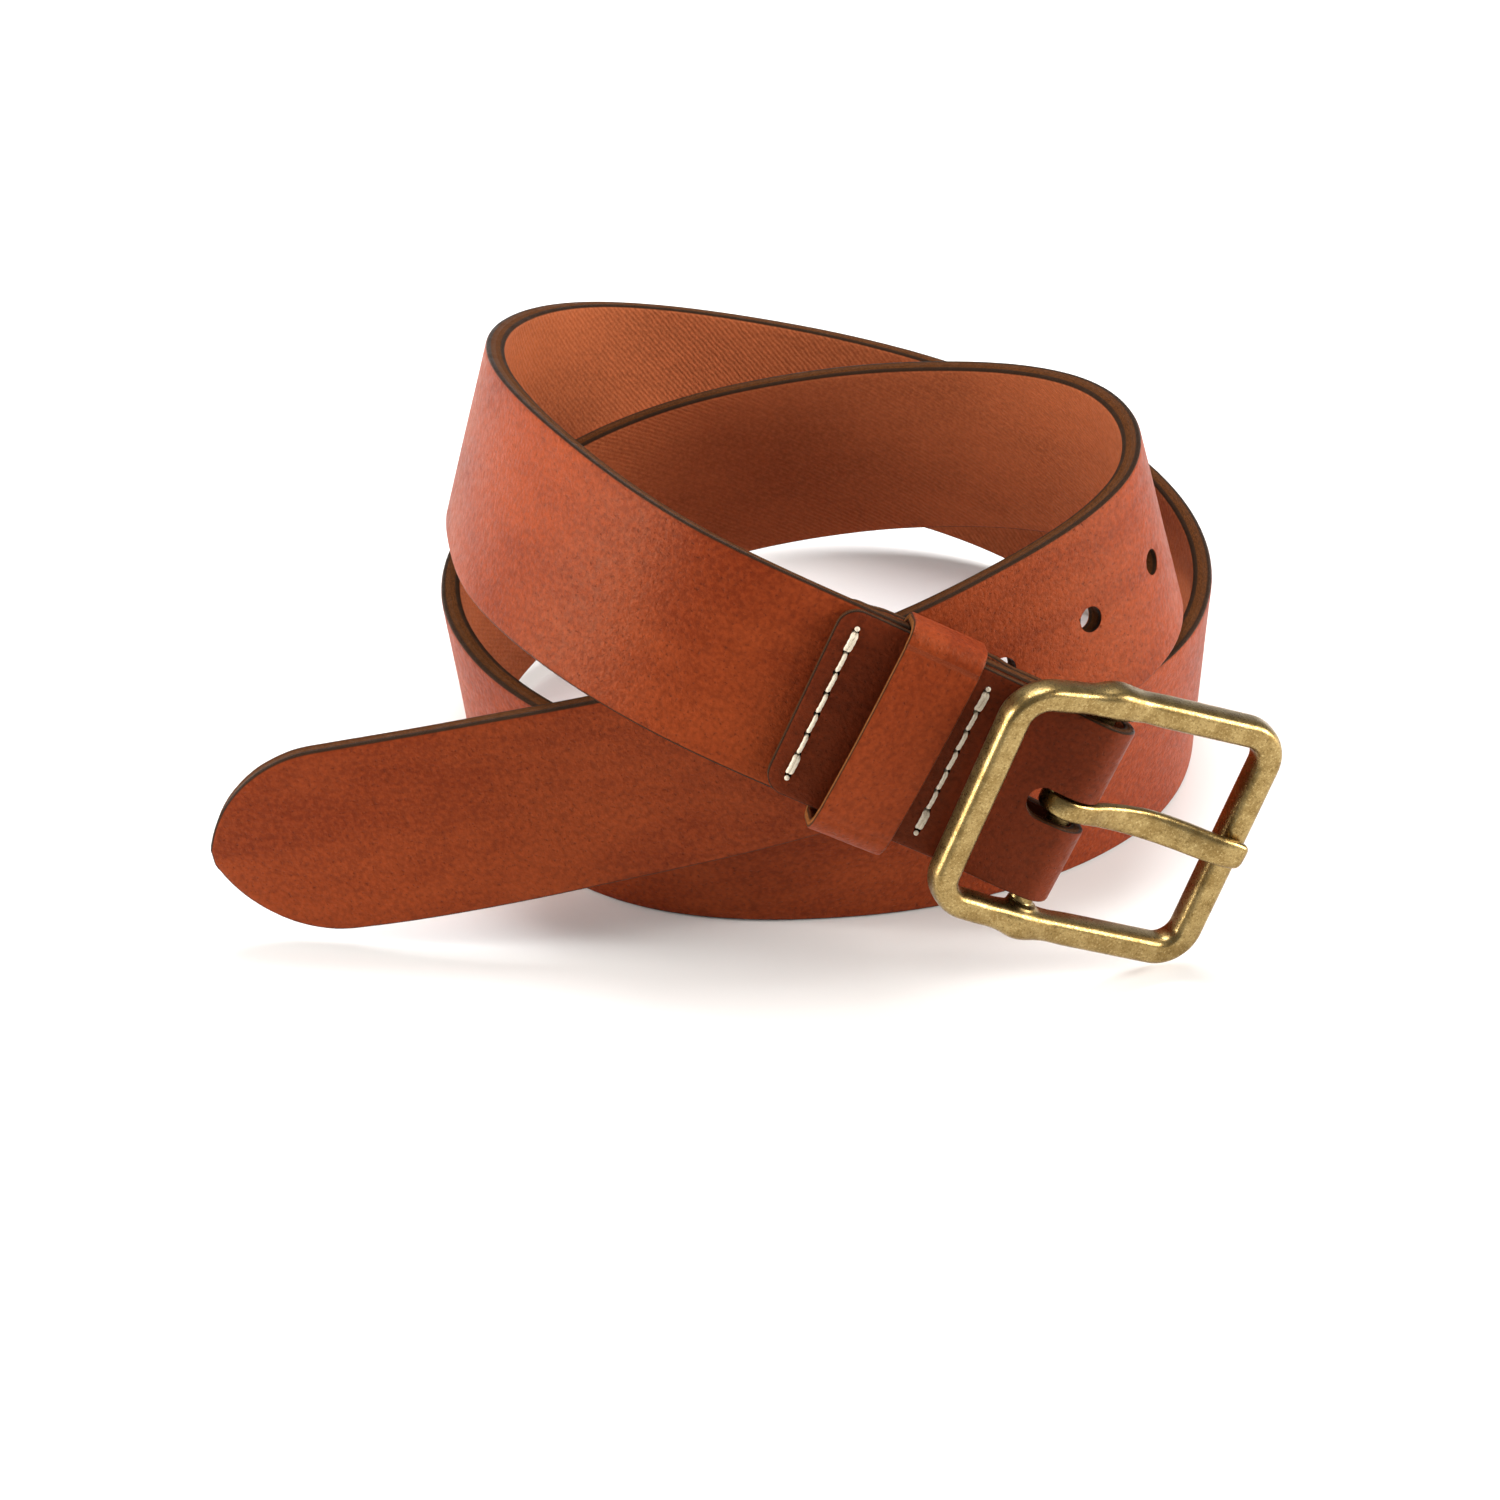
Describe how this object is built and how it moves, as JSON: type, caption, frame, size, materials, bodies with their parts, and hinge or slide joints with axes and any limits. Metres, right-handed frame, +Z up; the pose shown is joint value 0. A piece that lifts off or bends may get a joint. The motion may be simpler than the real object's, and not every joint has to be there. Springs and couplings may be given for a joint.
{
  "type": "leather belt",
  "caption": "Gentlemen's leather belt lying loosely coiled, with a hinged antique brass buckle and prong, a stitched chape and a leather keeper.",
  "frame": {"origin": "on the resting plane, below the middle of the bounding box", "axes": "+X along the coil's long side from the strap's free end towards the buckle, +Y away from the buckle towards the back of the coil, +Z up from the surface the belt lies on"},
  "size_m": [0.2016, 0.1744, 0.0906],
  "materials": {
    "strap_leather": "satin",
    "chape_leather": "satin",
    "antique_brass": "brushed",
    "thread": "matte"
  },
  "bodies": {
    "belt": {"strap": "strap_leather", "chape": "chape_leather", "keeper": "chape_leather", "stitch_row_1_front": "thread", "stitch_row_1_back": "thread", "stitch_row_2_front": "thread", "stitch_row_2_back": "thread"},
    "buckle": {"buckle_frame": "antique_brass"},
    "pin": {"prong": "antique_brass"}
  },
  "joints": [
    {"name": "frame_hinge", "type": "hinge", "parent": "belt", "child": "buckle", "pos_m": [0.05982, -0.073, 0.0397], "axis": [-0.4216, -0.1896, -0.8867], "range_deg": [-4, 2]},
    {"name": "prong_hinge", "type": "hinge", "parent": "buckle", "child": "pin", "pos_m": [0.05982, -0.073, 0.0397], "axis": [-0.4216, -0.1896, -0.8867], "range_deg": [0, 60]}
  ]
}
